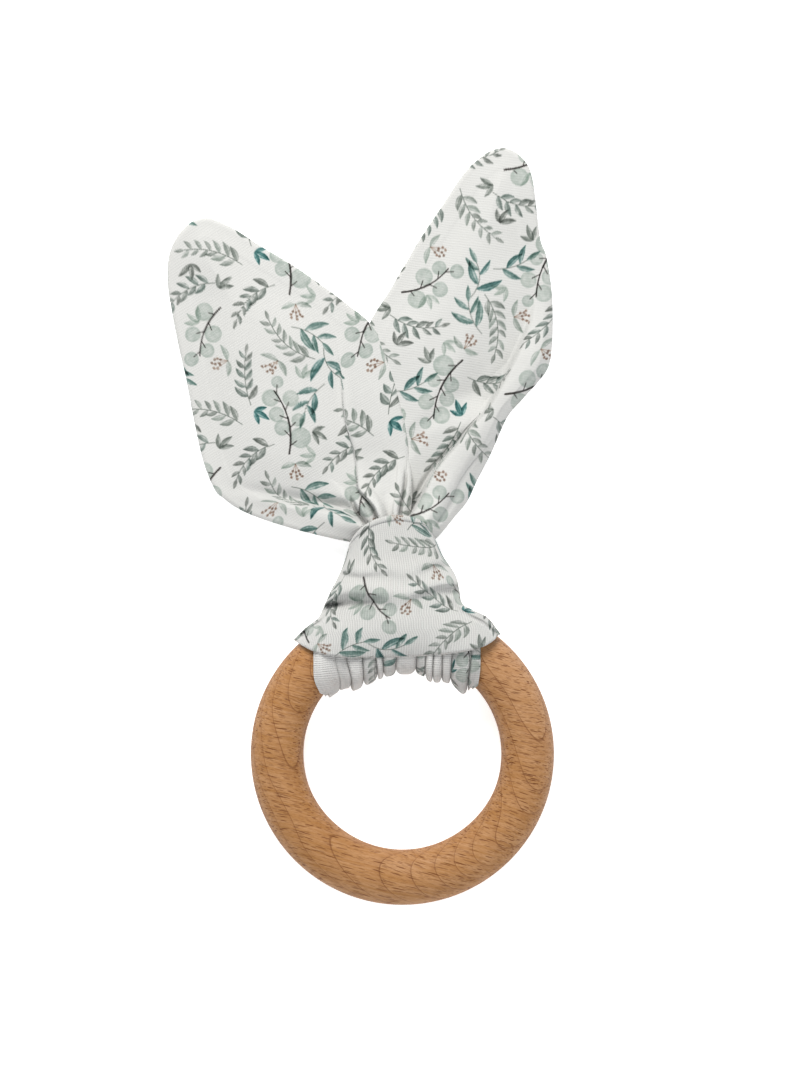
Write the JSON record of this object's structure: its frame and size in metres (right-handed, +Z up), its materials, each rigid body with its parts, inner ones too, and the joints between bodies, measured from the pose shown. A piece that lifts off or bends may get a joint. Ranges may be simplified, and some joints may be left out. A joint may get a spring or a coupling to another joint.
{
  "type": "teething_ring",
  "caption": "Wooden teething ring with a printed jersey strip tied to it by a lark's-head hitch, its two leaf-shaped ends standing as bunny ears",
  "frame": {"origin": "on the surface that the toy lies on, under the centre of its bounding box", "axes": "+Z up from the surface; +Y from the ring towards the tips of the ears; +X to the right, seen from above with the ears at the far end"},
  "size_m": [0.0894, 0.1746, 0.0222],
  "materials": {
    "beech": "satin",
    "printed_jersey": "matte",
    "thread": "matte"
  },
  "bodies": {
    "ring": {"wooden_ring": "beech"},
    "hitch": {"bridge_outer_panel": "printed_jersey", "bridge_inner_panel": "printed_jersey", "left_leg_outer_panel": "printed_jersey", "left_leg_inner_panel": "printed_jersey", "right_leg_outer_panel": "printed_jersey", "right_leg_inner_panel": "printed_jersey", "left_tail_front_panel": "printed_jersey", "left_tail_back_panel": "printed_jersey", "right_tail_front_panel": "printed_jersey", "right_tail_back_panel": "printed_jersey", "bridge_lower_seam": "thread", "bridge_upper_seam": "thread"},
    "left_ear": {"left_ear_front_panel": "printed_jersey", "left_ear_back_panel": "printed_jersey", "left_ear_seam": "thread"},
    "right_ear": {"right_ear_front_panel": "printed_jersey", "right_ear_back_panel": "printed_jersey", "right_ear_seam": "thread"}
  },
  "joints": [
    {"name": "hitch_slides_round_ring", "type": "hinge", "parent": "ring", "child": "hitch", "pos_m": [0.00971, -0.05234, 0.00786], "axis": [0, -0.0611, 0.9981], "continuous": true},
    {"name": "left_ear_flops", "type": "hinge", "parent": "hitch", "child": "left_ear", "pos_m": [0.00471, 0.00516, 0.0045], "axis": [1, 0, 0], "range_deg": [-90, 85]},
    {"name": "right_ear_flops", "type": "hinge", "parent": "hitch", "child": "right_ear", "pos_m": [0.01471, 0.00516, 0.0045], "axis": [1, 0, 0], "range_deg": [-90, 85]}
  ]
}
